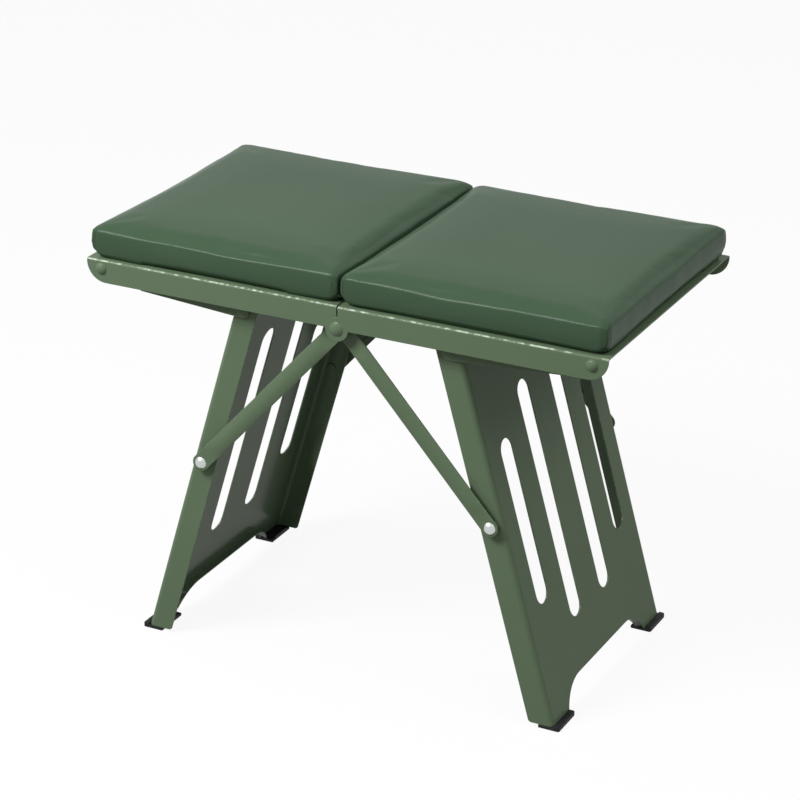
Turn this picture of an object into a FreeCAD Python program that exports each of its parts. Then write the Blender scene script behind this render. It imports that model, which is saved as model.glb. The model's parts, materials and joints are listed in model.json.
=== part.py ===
import FreeCAD, Part
import math
import os

import Sketcher
from FreeCAD import Placement, Rotation, Vector

# Folding stool of pressed sheet steel, in millimetres.
# X runs along the seat, Y from front (-) to back (+), Z is up and the floor is Z = 0.
# Each half of the stool is made in a half frame: X points from the middle hinge outwards.
# The left half is the right half turned half a turn about Z.

doc = FreeCAD.newDocument("folding_stool")

# Driving dimensions

SIZES = {
    # pressed steel seat trays
    "sheet_thickness": 1.5,
    "seat_half_length": 240,
    "seat_depth": 265,
    "seat_height": 350,
    "centre_gap": 2,
    "flange_height": 20.5,
    "seat_bend": 2.4,
    "seat_corner": 18,
    "hinge_drop": 20,
    "lug_radius": 10.5,
    "lug_gap": 0.3,
    # pins and rivets
    "running_clearance": 0.05,
    "side_clearance": 0.15,
    "hinge_pin_radius": 4,
    "hinge_head_radius": 6.4,
    "hinge_head_dome": 2.4,
    "rivet_radius": 3,
    "rivet_head_radius": 5.4,
    "rivet_dome": 2.8,
    "tail_radius": 4.6,
    "tail_thickness": 1.3,
    "collar_radius": 5,
    "spacer_wall": 2,
    # link arms between seat and leg top
    "arm_width": 12,
    "arm_keel": 13.7,
    "arm_keel_start": 14,
    "arm_keel_peak": 34,
    "arm_gap": 1.7,
    "arm_pivot_inset": 14,
    "arm_pivot_drop": 8,
    "leg_pivot_reach": 96,
    "leg_pivot_drop": 27,
    # leg pans
    "leg_tilt": 16,
    "leg_side_room": 15,
    "leg_flange": 22,
    "leg_face": 9.5,
    "leg_bend": 5,
    "leg_top_round": 8,
    "leg_toe_chamfer": 1.5,
    "leg_top_clearance": 0.4,
    "fold_clearance": 0.5,
    "slot_width": 20.8,
    "inner_slot_place": 30.8,
    "inner_slot_start": 56,
    "inner_slot_toe": 64.5,
    "outer_slot_place": 81.6,
    "outer_slot_start": 89.5,
    "outer_slot_toe": 98.5,
    "toe_width": 34,
    "arch_height": 20.8,
    "arch_corner": 36,
    "arch_lip": 6.5,
    "arch_lip_end": 4,
    # braces
    "brace_width": 15,
    "brace_gap": 1.7,
    "brace_pivot_inset": 10,
    "bead_width": 6.4,
    "bead_height": 1.3,
    "bead_side": 1.3,
    "bead_margin": 30,
    "shear_gap": 0.3,
    # feet
    "foot_base": 3,
    "foot_lip_height": 1.5,
    "foot_outer": 5.5,
    "foot_inner": 14,
    "foot_overhang": 0.5,
    "foot_margin": 0.5,
    "foot_round": 2,
    # cushions
    "cushion_gap": 2,
    "cushion_inset": 2.2,
    "cushion_shoulder": 28.5,
    "cushion_crown": 3,
    "cushion_tuck": 6,
    "cushion_round": 4.5,
    "cushion_corner": 5,
    "cushion_draw": 2.4,
    "cushion_crown_inset": 64,
    "board_inset": 17,
    "board_thickness": 6,
    "screw_radius": 2,
    "screw_head_radius": 4,
    "screw_head_height": 1.8,
    "screw_length": 6,
    "screw_inset": 44,
}


def make_sheet(name, values):
    """A spreadsheet with one named cell for each value."""
    table = doc.addObject("Spreadsheet::Sheet", name)
    for row, (alias, value) in enumerate(values.items(), start=1):
        table.set("A%d" % row, alias)
        table.set("B%d" % row, str(value))
        table.setAlias("B%d" % row, alias)
    doc.recompute()
    return table


sizes = make_sheet("sizes", SIZES)

# Linkage of one half, worked out in its X-Z plane with the tray's top face at Z = 0.
# hinge: middle hinge, arm_pivot: arm on seat, leg_pivot: arm on leg, brace_pivot: brace on leg.

hinge = Vector(0, 0, -sizes.hinge_drop)
arm_pivot = Vector(sizes.seat_half_length - sizes.arm_pivot_inset, 0, -sizes.arm_pivot_drop)
leg_pivot = Vector(sizes.leg_pivot_reach, 0, -sizes.leg_pivot_drop)

tilt = math.radians(sizes.leg_tilt)
leg_down = Vector(math.sin(tilt), 0, -math.cos(tilt))
leg_out = Vector(math.cos(tilt), 0, math.sin(tilt))
folded_down = Vector(-1, 0, 0)
folded_out = Vector(0, 0, -1)

# Folded, the leg lies flat under the tray with the free edges of its flanges just below the plate.
arm_length = (leg_pivot - arm_pivot).Length
leg_free_edge = sizes.leg_face - sizes.leg_flange
folded_drop = sizes.sheet_thickness + sizes.fold_clearance - leg_free_edge
folded_reach = math.sqrt(arm_length ** 2 - (folded_drop - sizes.arm_pivot_drop) ** 2)
folded_pivot = Vector(arm_pivot.x + folded_reach, 0, -folded_drop)

# The brace has one length, so its pivot on the leg is equally far from the hinge open and folded.
brace_offset = sizes.leg_face - sizes.brace_pivot_inset
open_arm = hinge - leg_pivot
folded_arm = hinge - folded_pivot
offset_part = 2 * brace_offset * (open_arm.dot(leg_out) - folded_arm.dot(folded_out))
length_part = open_arm.Length ** 2 - folded_arm.Length ** 2
along_part = 2 * (open_arm.dot(leg_down) - folded_arm.dot(folded_down))
brace_down = (length_part - offset_part) / along_part
brace_pivot = leg_pivot + leg_down * brace_down + leg_out * brace_offset
folded_brace_pivot = folded_pivot + folded_down * brace_down + folded_out * brace_offset
brace_length = (brace_pivot - hinge).Length

# The leg ends just under the tray's plate, and its lower edge stands on the base of the feet.
top_room = sizes.leg_pivot_drop - sizes.sheet_thickness - sizes.leg_top_clearance
leg_rise = (top_room - sizes.leg_face * math.sin(tilt)) / math.cos(tilt)
pivot_height = sizes.seat_height - sizes.leg_pivot_drop
leg_drop = (pivot_height - sizes.foot_base + sizes.leg_face * math.sin(tilt)) / math.cos(tilt)
leg_foot = leg_pivot + leg_down * leg_drop + leg_out * sizes.leg_face

# Layers from the middle plane outwards, as distances in Y.
leg_width = sizes.seat_depth - 2 * sizes.leg_side_room
leg_side = leg_width / 2
arm_side = leg_side + sizes.arm_gap
brace_side = arm_side + sizes.sheet_thickness + sizes.brace_gap
seat_side = sizes.seat_depth / 2
half_shift = (sizes.sheet_thickness + sizes.lug_gap) / 2
pin_side = seat_side + half_shift

# Plan of a cushion at its widest, and its middle along X.
cushion_length = sizes.seat_half_length - sizes.cushion_inset - sizes.cushion_gap / 2
cushion_depth = sizes.seat_depth - 2 * sizes.cushion_inset
cushion_middle = sizes.cushion_gap / 2 + cushion_length / 2

# The arch is flat on top, with a wide curve down to each toe.
curve_drop = sizes.arch_corner - sizes.arch_height
curve_reach = math.sqrt(sizes.arch_corner ** 2 - curve_drop ** 2)
arch_reach = leg_side - sizes.toe_width - curve_reach

# The feet lie under the toes, and their inner lips stop short of the bend in the leg's flange.
foot_length = sizes.toe_width + sizes.foot_overhang - sizes.foot_margin
foot_lip_length = foot_length - 2 * (sizes.foot_overhang + sizes.leg_bend + sizes.foot_margin)

linkage = make_sheet("linkage", {
    "arm_length": arm_length,
    "leg_width": leg_width,
    "arch_reach": arch_reach,
    "leg_rise": leg_rise,
    "leg_drop": leg_drop,
    "brace_down": brace_down,
    "brace_offset": brace_offset,
    "brace_length": brace_length,
    "arm_side": arm_side,
    "brace_side": brace_side,
    "half_shift": half_shift,
    "pin_side": pin_side,
    "foot_length": foot_length,
    "foot_lip_length": foot_lip_length,
})


# Sketch and feature helpers

def new_body(label):
    body = doc.addObject("PartDesign::Body", label)
    body.Label = label
    return body


def new_sketch(body, role):
    """A sketch on one of the body's own origin planes."""
    sketch = body.newObject("Sketcher::SketchObject", "sketch")
    plane = [item for item in body.Origin.OriginFeatures if item.Role == role][0]
    sketch.AttachmentSupport = [(plane, "")]
    sketch.MapMode = "FlatFace"
    return sketch


def bind_place(sketch, geometry, point, across, up):
    """Tie a point of a sketch to a pair of expressions, measured from the sketch's origin."""
    for kind, text in (("DistanceX", across), ("DistanceY", up)):
        value = float(sketch.evalExpression(text))
        index = sketch.addConstraint(Sketcher.Constraint(kind, -1, 1, geometry, point, value))
        sketch.setExpression("Constraints[%d]" % index, text)


def bind_radius(sketch, geometry, text):
    value = float(sketch.evalExpression(text))
    index = sketch.addConstraint(Sketcher.Constraint("Radius", geometry, value))
    sketch.setExpression("Constraints[%d]" % index, text)


def spot(sketch, across, up):
    return Vector(float(sketch.evalExpression(across)), float(sketch.evalExpression(up)), 0)


def add_circle(sketch, across, up, radius):
    centre = spot(sketch, across, up)
    reach = float(sketch.evalExpression(radius))
    geometry = sketch.addGeometry(Part.Circle(centre, Vector(0, 0, 1), reach), False)
    bind_place(sketch, geometry, 3, across, up)
    bind_radius(sketch, geometry, radius)


def add_polygon(sketch, corners, domed=False):
    """A closed outline through bound corners; a domed one reaches its last corner by an arc about X = 0."""
    places = [spot(sketch, across, up) for across, up in corners]
    count = len(corners)
    lines = []
    for index in range(count):
        start = places[index]
        end = places[(index + 1) % count]
        if domed and index == count - 2:
            height = end.y - start.y
            radius = (start.x ** 2 + height ** 2) / (2 * height)
            centre = Vector(0, end.y - radius, 0)
            low_angle = math.atan2(start.y - centre.y, start.x)
            circle = Part.Circle(centre, Vector(0, 0, 1), radius)
            curve = Part.ArcOfCircle(circle, low_angle, math.pi / 2)
        else:
            curve = Part.LineSegment(start, end)
        lines.append(sketch.addGeometry(curve, False))
    for index in range(count):
        following = lines[(index + 1) % count]
        sketch.addConstraint(Sketcher.Constraint("Coincident", lines[index], 2, following, 1))
    for line, (across, up) in zip(lines, corners):
        bind_place(sketch, line, 1, across, up)
    if domed:
        sketch.addConstraint(Sketcher.Constraint("DistanceX", -1, 1, lines[count - 2], 3, 0))


def add_rectangle(sketch, left, right, bottom, top):
    add_polygon(sketch, [(left, bottom), (right, bottom), (right, top), (left, top)])


def add_slot(sketch, start, end, radius):
    """A round-ended slot between two bound centres, running along one of the sketch's axes."""
    first = spot(sketch, *start)
    last = spot(sketch, *end)
    reach = float(sketch.evalExpression(radius))
    heading = math.atan2(last.y - first.y, last.x - first.x)
    side = Vector(-math.sin(heading), math.cos(heading), 0) * reach
    axis = Vector(0, 0, 1)
    quarter = math.pi / 2
    first_circle = Part.Circle(first, axis, reach)
    last_circle = Part.Circle(last, axis, reach)
    first_arc = Part.ArcOfCircle(first_circle, heading + quarter, heading + 3 * quarter)
    last_arc = Part.ArcOfCircle(last_circle, heading - quarter, heading + quarter)
    head = sketch.addGeometry(first_arc, False)
    lower = sketch.addGeometry(Part.LineSegment(first - side, last - side), False)
    tail = sketch.addGeometry(last_arc, False)
    upper = sketch.addGeometry(Part.LineSegment(last + side, first + side), False)
    joins = ((head, 2, lower, 1), (lower, 2, tail, 1), (tail, 2, upper, 1), (upper, 2, head, 1))
    for join in joins:
        sketch.addConstraint(Sketcher.Constraint("Tangent", *join))
    sketch.addConstraint(Sketcher.Constraint("Equal", head, tail))
    bind_place(sketch, head, 3, *start)
    bind_place(sketch, tail, 3, *end)
    bind_radius(sketch, head, radius)


def add_arch(sketch, reach, top, radius, bottom):
    """An arch about the sketch's middle: a flat top, an arc down each side and a straight line below."""
    level = "%s - %s" % (top, radius)
    curve = float(sketch.evalExpression(radius))
    right = spot(sketch, reach, level)
    left = spot(sketch, "-" + reach, level)
    foot_level = float(sketch.evalExpression(bottom))
    dip = math.asin((foot_level - right.y) / curve)
    axis = Vector(0, 0, 1)
    right_arc = Part.ArcOfCircle(Part.Circle(right, axis, curve), dip, math.pi / 2)
    left_arc = Part.ArcOfCircle(Part.Circle(left, axis, curve), math.pi / 2, math.pi - dip)
    rise = Vector(0, curve, 0)
    first = sketch.addGeometry(right_arc, False)
    crown = sketch.addGeometry(Part.LineSegment(right + rise, left + rise), False)
    last = sketch.addGeometry(left_arc, False)
    base = sketch.addGeometry(Part.LineSegment(left_arc.EndPoint, right_arc.StartPoint), False)
    sketch.addConstraint(Sketcher.Constraint("Tangent", first, 2, crown, 1))
    sketch.addConstraint(Sketcher.Constraint("Tangent", crown, 2, last, 1))
    sketch.addConstraint(Sketcher.Constraint("Coincident", last, 2, base, 1))
    sketch.addConstraint(Sketcher.Constraint("Coincident", base, 2, first, 1))
    sketch.addConstraint(Sketcher.Constraint("Horizontal", base))
    sketch.addConstraint(Sketcher.Constraint("Equal", first, last))
    bind_place(sketch, first, 3, reach, level)
    bind_place(sketch, last, 3, "-" + reach, level)
    bind_radius(sketch, first, radius)
    index = sketch.addConstraint(Sketcher.Constraint("DistanceY", -1, 1, base, 1, foot_level))
    sketch.setExpression("Constraints[%d]" % index, bottom)


def pad(body, sketch, length, side="Symmetric", reversed_way=False):
    feature = body.newObject("PartDesign::Pad", "pad")
    feature.Profile = sketch
    feature.SideType = side
    feature.Reversed = reversed_way
    feature.setExpression("Length", length)
    doc.recompute()
    return feature


def pocket(body, sketch, length=None, side="Symmetric", reversed_way=False):
    """Cut a sketch right through, or to a bound depth, and make sure that it took something away."""
    before = body.Shape.Volume
    feature = body.newObject("PartDesign::Pocket", "pocket")
    feature.Profile = sketch
    feature.SideType = side
    feature.Reversed = reversed_way
    if length is None:
        feature.Type = "ThroughAll"
    else:
        feature.Type = "Length"
        feature.setExpression("Length", length)
    doc.recompute()
    if not body.Shape.Volume < before:
        raise RuntimeError("a pocket of %s cuts nothing" % body.Label)
    return feature


def straight_edges(shape, direction, test):
    """Names of the straight edges along a direction whose middle passes a test."""
    names = []
    for number, edge in enumerate(shape.Edges, start=1):
        if not isinstance(edge.Curve, Part.Line):
            continue
        if abs(edge.Curve.Direction.dot(direction)) < 0.9999:
            continue
        if test(edge.CenterOfMass):
            names.append("Edge%d" % number)
    return names


def near(value, target):
    return abs(value - target) < 0.01


def round_edges(body, direction, test, radius, kind="PartDesign::Fillet"):
    base = body.Tip
    names = straight_edges(base.Shape, direction, test)
    feature = body.newObject(kind, "edge")
    feature.Base = (base, names)
    feature.setExpression("Size" if kind.endswith("Chamfer") else "Radius", radius)
    doc.recompute()
    return feature


ALONG_X = Vector(1, 0, 0)
ALONG_Y = Vector(0, 1, 0)
ALONG_Z = Vector(0, 0, 1)


# Sub-parts

def seat_tray(label):
    """A pressed plate with a flange turned down along front and back, and a hinge lug on each flange."""
    body = new_body(label)
    sketch = new_sketch(body, "XZ_Plane")
    add_rectangle(sketch, "sizes.centre_gap / 2", "sizes.seat_half_length", "-sizes.flange_height", "0")
    pad(body, sketch, "sizes.seat_depth")
    sketch = new_sketch(body, "XZ_Plane")
    add_circle(sketch, "0", "-sizes.hinge_drop", "sizes.lug_radius")
    pad(body, sketch, "sizes.seat_depth")
    sketch = new_sketch(body, "YZ_Plane")
    inner = "(sizes.seat_depth / 2 - sizes.sheet_thickness)"
    floor = "-(sizes.hinge_drop + sizes.flange_height + sizes.lug_radius)"
    add_rectangle(sketch, "-" + inner, inner, floor, "-sizes.sheet_thickness")
    pocket(body, sketch)
    end = sizes.seat_half_length
    drop = -sizes.flange_height
    round_edges(body, ALONG_Y, lambda p: near(p.x, end) and near(p.z, drop), "sizes.seat_corner")
    face = sizes.seat_depth / 2
    round_edges(body, ALONG_X, lambda p: near(abs(p.y), face) and near(p.z, 0), "sizes.seat_bend")
    inside = face - sizes.sheet_thickness
    under = -sizes.sheet_thickness
    round_edges(body, ALONG_X, lambda p: near(abs(p.y), inside) and near(p.z, under),
                "max(sizes.seat_bend - sizes.sheet_thickness; 0.2)")
    sketch = new_sketch(body, "XZ_Plane")
    add_circle(sketch, "0", "-sizes.hinge_drop", "sizes.hinge_pin_radius + sizes.running_clearance")
    add_circle(sketch, "sizes.seat_half_length - sizes.arm_pivot_inset", "-sizes.arm_pivot_drop",
               "sizes.rivet_radius + sizes.running_clearance")
    pocket(body, sketch)
    sketch = new_sketch(body, "XY_Plane")
    for across, up in SCREW_SPOTS:
        add_circle(sketch, across, up, "sizes.screw_radius + sizes.running_clearance")
    pocket(body, sketch)
    return body


SCREW_SPOTS = [
    (across, sign + "(sizes.seat_depth / 2 - sizes.screw_inset)")
    for across in ("sizes.screw_inset", "sizes.seat_half_length - sizes.screw_inset")
    for sign in ("", "-")
]


def cushion_board(label):
    """The board inside the cushion that the screws bite into."""
    body = new_body(label)
    sketch = new_sketch(body, "XY_Plane")
    front = "(sizes.seat_depth / 2 - sizes.cushion_inset - sizes.board_inset)"
    add_rectangle(sketch, "sizes.cushion_gap / 2 + sizes.board_inset",
                  "sizes.seat_half_length - sizes.cushion_inset - sizes.board_inset", "-" + front, front)
    for across, up in SCREW_SPOTS:
        add_circle(sketch, across, up, "sizes.screw_radius + sizes.running_clearance")
    pad(body, sketch, "sizes.board_thickness", "One side")
    return body


# Steps of each curved stretch of a cushion's side, and the least draw that keeps a side an arc.
LEVELS = 4
LEAST_DRAW = 0.05


def cushion_section(length, depth, corner, draw, height):
    """A rounded rectangle about the origin whose four sides are drawn in at their middles."""
    a = length / 2
    b = depth / 2
    bend = corner * math.sqrt(0.5)
    edges = []
    for turn in range(4):
        rotation = Rotation(Vector(0, 0, 1), 90 * turn)
        along, out = (a, b) if turn % 2 == 0 else (b, a)
        points = [
            Vector(-along + corner, -out, height),
            Vector(0, -out + draw, height),
            Vector(along - corner, -out, height),
            Vector(along - corner + bend, -out + corner - bend, height),
            Vector(along, -out + corner, height),
        ]
        points = [rotation.multVec(point) for point in points]
        edges.append(Part.Arc(*points[:3]).toShape())
        edges.append(Part.Arc(*points[2:]).toShape())
    return Part.Wire(edges)


def cushion(label):
    """A crowned pad, widest above its tucked lower edge, open below for its board."""
    widest_height = sizes.cushion_shoulder / 2
    above = sizes.cushion_shoulder - widest_height
    crown_run = sizes.cushion_crown_inset - sizes.cushion_round
    levels = []
    for step in range(LEVELS):
        angle = math.radians(90 * step / LEVELS)
        tuck = sizes.cushion_tuck * (1 - math.sin(angle)) ** 2
        levels.append((widest_height * math.sin(angle), tuck))
    for step in range(LEVELS):
        angle = math.radians(90 * step / LEVELS)
        inset = sizes.cushion_round * (1 - math.cos(angle))
        levels.append((widest_height + above * math.sin(angle), inset))
    for step in range(LEVELS + 1):
        share = step / LEVELS
        rise = sizes.cushion_crown * (1 - (1 - share) ** 2)
        levels.append((sizes.cushion_shoulder + rise, sizes.cushion_round + crown_run * share))
    sections = []
    for height, inset in levels:
        draw = sizes.cushion_draw * (1 - inset / sizes.cushion_crown_inset)
        corner = sizes.cushion_corner + inset / 3
        sections.append(cushion_section(cushion_length - 2 * inset, cushion_depth - 2 * inset,
                                        corner, draw + LEAST_DRAW, height))
    pad_shape = Part.makeLoft(sections, True, True)
    recess_length = cushion_length - 2 * sizes.board_inset
    recess_depth = cushion_depth - 2 * sizes.board_inset
    corner_point = Vector(-recess_length / 2, -recess_depth / 2, 0)
    recess = Part.makeBox(recess_length, recess_depth, sizes.board_thickness, corner_point)
    feature = doc.addObject("Part::Feature", label)
    feature.Label = label
    feature.Shape = pad_shape.cut(recess)
    return feature


def turned(label, profile, domed=False):
    """A piece turned about its own Z axis from bound (radius, height) corners."""
    body = new_body(label)
    sketch = new_sketch(body, "XZ_Plane")
    add_polygon(sketch, profile, domed)
    feature = body.newObject("PartDesign::Revolution", "turn")
    feature.Profile = sketch
    feature.ReferenceAxis = (sketch, ["V_Axis"])
    feature.Angle = 360
    doc.recompute()
    return body


def headed_pin(label, radius, head_radius, dome, grip):
    """A rivet from its flat tail inside to its dome outside; Z = 0 is under the dome."""
    tail = "-(%s + sizes.tail_thickness)" % grip
    tail_radius = "%s + sizes.tail_radius - sizes.rivet_radius" % radius
    return turned(label, [
        ("0", tail),
        (tail_radius, tail),
        (tail_radius, "-(%s)" % grip),
        (radius, "-(%s)" % grip),
        (radius, "0"),
        (head_radius, "0"),
        ("0", dome),
    ], domed=True)


def arm_rivet(label):
    """Seat end of a link arm: through the tray flange, the spacer and the arm."""
    grip = "sizes.seat_depth / 2 - linkage.arm_side + sizes.side_clearance"
    return headed_pin(label, "sizes.rivet_radius", "sizes.rivet_head_radius", "sizes.rivet_dome", grip)


def hinge_pin(label):
    """Middle hinge: through both lugs, the spacer and both braces."""
    grip = "linkage.pin_side - linkage.brace_side + linkage.half_shift + sizes.side_clearance"
    return headed_pin(label, "sizes.hinge_pin_radius", "sizes.hinge_head_radius",
                      "sizes.hinge_head_dome", grip)


def spacer(label, bore, length):
    """A plain tube round a pin; Z = 0 is its outer end."""
    inner = "%s + sizes.running_clearance" % bore
    outer = "%s + sizes.running_clearance + sizes.spacer_wall" % bore
    low = "-(%s)" % length
    return turned(label, [(inner, low), (outer, low), (outer, "0"), (inner, "0")])


def leg_rivet(label):
    """Fixed in a leg flange, with a collar under the link arm; Z = 0 is the flange's outer face."""
    low = "-(sizes.sheet_thickness + sizes.tail_thickness)"
    collar_top = "sizes.arm_gap - sizes.side_clearance"
    arm_top = "sizes.arm_gap + sizes.sheet_thickness + sizes.side_clearance"
    return turned(label, [
        ("0", low),
        ("sizes.tail_radius", low),
        ("sizes.tail_radius", "-sizes.sheet_thickness"),
        ("sizes.rivet_radius", "-sizes.sheet_thickness"),
        ("sizes.rivet_radius", "0"),
        ("sizes.collar_radius", "0"),
        ("sizes.collar_radius", collar_top),
        ("sizes.rivet_radius", collar_top),
        ("sizes.rivet_radius", arm_top),
        ("sizes.collar_radius", arm_top),
        ("0", "sizes.arm_gap + sizes.sheet_thickness + sizes.brace_gap - 2 * sizes.side_clearance"),
    ], domed=True)


def brace_stud(label):
    """Fixed in a leg flange, with a long collar under the brace; Z = 0 is the flange's outer face."""
    low = "-(sizes.sheet_thickness + sizes.tail_thickness)"
    top = "linkage.brace_side - linkage.leg_width / 2 - sizes.shear_gap"
    return turned(label, [
        ("0", low),
        ("sizes.tail_radius", low),
        ("sizes.tail_radius", "-sizes.sheet_thickness"),
        ("sizes.rivet_radius", "-sizes.sheet_thickness"),
        ("sizes.rivet_radius", "0"),
        ("sizes.collar_radius", "0"),
        ("sizes.collar_radius", top),
        ("0", top),
    ])


def brace_rivet(label):
    """The bare domed rivet that shows on a brace; Z = 0 is the brace's outer face."""
    return turned(label, [
        ("0", "-sizes.sheet_thickness"),
        ("sizes.rivet_radius", "-sizes.sheet_thickness"),
        ("sizes.rivet_radius", "0"),
        ("sizes.rivet_head_radius", "0"),
        ("0", "sizes.rivet_dome"),
    ], domed=True)


def strip(label, length, width, first_pin, last_pin):
    """A flat strip with round ends and a hole at each end, along X from its first hole."""
    body = new_body(label)
    sketch = new_sketch(body, "XZ_Plane")
    add_slot(sketch, ("0", "0"), (length, "0"), width + " / 2")
    add_circle(sketch, "0", "0", first_pin + " + sizes.running_clearance")
    add_circle(sketch, length, "0", last_pin + " + sizes.running_clearance")
    pad(body, sketch, "sizes.sheet_thickness")
    return body


def link_arm(label, lower):
    """A strip that deepens below its middle; lower is the sign of the side that faces the floor."""
    body = strip(label, "linkage.arm_length", "sizes.arm_width",
                 "sizes.rivet_radius", "sizes.rivet_radius")
    sketch = new_sketch(body, "XZ_Plane")
    keel_end = "linkage.arm_length - sizes.arm_width"
    add_polygon(sketch, [
        ("sizes.arm_keel_start", "0"),
        ("sizes.arm_keel_peak", lower + "sizes.arm_keel"),
        ("linkage.arm_length", lower + "sizes.arm_width / 2"),
        (keel_end, "0"),
    ])
    pad(body, sketch, "sizes.sheet_thickness")
    return body


def brace(label):
    """A strip with a bead pressed outwards along its middle, hollow behind."""
    body = strip(label, "linkage.brace_length", "sizes.brace_width",
                 "sizes.hinge_pin_radius", "sizes.rivet_radius")
    bead_start = ("sizes.bead_margin", "0")
    bead_end = ("linkage.brace_length - sizes.bead_margin", "0")
    sketch = new_sketch(body, "XZ_Plane")
    add_slot(sketch, bead_start, bead_end, "sizes.bead_width / 2")
    pad(body, sketch, "sizes.sheet_thickness / 2 + sizes.bead_height", "One side")
    sketch = new_sketch(body, "XZ_Plane")
    add_slot(sketch, bead_start, bead_end, "sizes.bead_width / 2 - sizes.bead_side")
    feature = pocket(body, sketch, "sizes.sheet_thickness / 2", "One side")
    feature.SideType = "Two sides"
    feature.Type2 = "Length"
    feature.setExpression("Length2", "max(sizes.bead_height - sizes.sheet_thickness / 2; 0.01)")
    doc.recompute()
    return body


def leg_panel(label):
    """A pan with a flange along each side; its origin is the arm pivot, X outwards, Z up the leg."""
    body = new_body(label)
    free = "(sizes.leg_face - sizes.leg_flange)"
    sketch = new_sketch(body, "XZ_Plane")
    add_polygon(sketch, [
        (free, "-linkage.leg_drop + sizes.leg_flange * tan(sizes.leg_tilt)"),
        ("sizes.leg_face", "-linkage.leg_drop"),
        ("sizes.leg_face", "linkage.leg_rise"),
        (free, "linkage.leg_rise"),
    ])
    pad(body, sketch, "linkage.leg_width")
    sketch = new_sketch(body, "XY_Plane")
    inner = "(linkage.leg_width / 2 - sizes.sheet_thickness)"
    add_rectangle(sketch, free + " - sizes.leg_flange", "sizes.leg_face - sizes.sheet_thickness",
                  "-" + inner, inner)
    pocket(body, sketch)
    edge = sizes.leg_face - sizes.leg_flange
    side = leg_side
    face = sizes.leg_face
    toe = -leg_drop + sizes.leg_flange * math.tan(tilt)
    round_edges(body, ALONG_Y, lambda p: near(p.x, edge) and near(p.z, leg_rise), "sizes.leg_top_round")
    round_edges(body, ALONG_Y, lambda p: near(p.x, edge) and near(p.z, toe), "sizes.leg_toe_chamfer",
                "PartDesign::Chamfer")
    round_edges(body, ALONG_Z, lambda p: near(p.x, face) and near(abs(p.y), side), "sizes.leg_bend")
    wall_face = face - sizes.sheet_thickness
    wall_side = side - sizes.sheet_thickness
    round_edges(body, ALONG_Z, lambda p: near(p.x, wall_face) and near(abs(p.y), wall_side),
                "max(sizes.leg_bend - sizes.sheet_thickness; 0.2)")
    sketch = new_sketch(body, "YZ_Plane")
    half = "sizes.slot_width / 2"
    for kind in ("inner", "outer"):
        for sign in ("", "-"):
            across = "%ssizes.%s_slot_place" % (sign, kind)
            top = "-(sizes.%s_slot_start + %s)" % (kind, half)
            bottom = "-(linkage.leg_drop - sizes.%s_slot_toe - %s)" % (kind, half)
            add_slot(sketch, (across, top), (across, bottom), half)
    pocket(body, sketch)
    arch_top = "-linkage.leg_drop + sizes.arch_height"
    sketch = new_sketch(body, "YZ_Plane")
    sketch.setExpression("AttachmentOffset.Base.z",
                         "sizes.leg_face - sizes.sheet_thickness - sizes.arch_lip")
    add_arch(sketch, "linkage.arch_reach", arch_top + " + sizes.sheet_thickness",
             "(sizes.arch_corner + sizes.sheet_thickness)", "-linkage.leg_drop + sizes.arch_lip_end")
    pad(body, sketch, "sizes.arch_lip + sizes.sheet_thickness / 2", "One side")
    sketch = new_sketch(body, "YZ_Plane")
    add_arch(sketch, "linkage.arch_reach", arch_top, "sizes.arch_corner",
             "-linkage.leg_drop - sizes.foot_base")
    pocket(body, sketch)
    sketch = new_sketch(body, "XZ_Plane")
    hole = "sizes.rivet_radius + sizes.running_clearance"
    add_circle(sketch, "0", "0", hole)
    add_circle(sketch, "linkage.brace_offset", "-linkage.brace_down", hole)
    pocket(body, sketch)
    return body


def foot(label):
    """A rubber shoe on the floor: a base under the leg's lower edge and a lip on each face of the panel."""
    body = new_body(label)
    lean = "tan(sizes.leg_tilt)"
    wall = "sizes.sheet_thickness / cos(sizes.leg_tilt)"
    top = "sizes.foot_base + sizes.foot_lip_height"
    sketch = new_sketch(body, "XZ_Plane")
    add_polygon(sketch, [
        ("-sizes.foot_inner", "0"),
        ("sizes.foot_outer", "0"),
        ("sizes.foot_outer", top),
        ("-sizes.foot_lip_height * " + lean, top),
        ("0", "sizes.foot_base"),
        ("-sizes.foot_inner", "sizes.foot_base"),
    ])
    pad(body, sketch, "linkage.foot_length")
    sketch = new_sketch(body, "XZ_Plane")
    add_polygon(sketch, [
        ("-sizes.foot_inner", "sizes.foot_base / 2"),
        ("-" + wall, "sizes.foot_base / 2"),
        ("-" + wall, "sizes.foot_base"),
        ("-(%s + sizes.foot_lip_height * %s)" % (wall, lean), top),
        ("-sizes.foot_inner", top),
    ])
    pad(body, sketch, "linkage.foot_lip_length")
    outer = sizes.foot_outer
    side = foot_length / 2
    round_edges(body, ALONG_Z, lambda p: near(p.x, outer) and near(abs(p.y), side), "sizes.foot_round")
    return body


def screw_group(label, place):
    """Four pan-head screws from under the tray into the board."""
    screws = []
    for across, up in SCREW_SPOTS:
        screw = turned("screw", [
            ("0", "-(sizes.sheet_thickness + sizes.screw_head_height)"),
            ("sizes.screw_head_radius", "-(sizes.sheet_thickness + sizes.screw_head_height)"),
            ("sizes.screw_head_radius", "-sizes.sheet_thickness"),
            ("sizes.screw_radius", "-sizes.sheet_thickness"),
            ("sizes.screw_radius", "sizes.screw_length - sizes.sheet_thickness"),
            ("0", "sizes.screw_length - sizes.sheet_thickness"),
        ])
        spot_x = float(sizes.evalExpression(across.replace("sizes.", "")))
        spot_y = float(sizes.evalExpression(up.replace("sizes.", "")))
        screw.Placement = place * Placement(Vector(spot_x, spot_y, sizes.seat_height), Rotation())
        screws.append(screw)
    group = doc.addObject("Part::Compound", label)
    group.Label = label
    group.Links = screws
    return group


# Assembly

nodes = []


def put(piece, half, place):
    """Place a piece of a half and keep it as a node of the stool."""
    piece.Placement = half * place
    nodes.append(piece)


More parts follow.
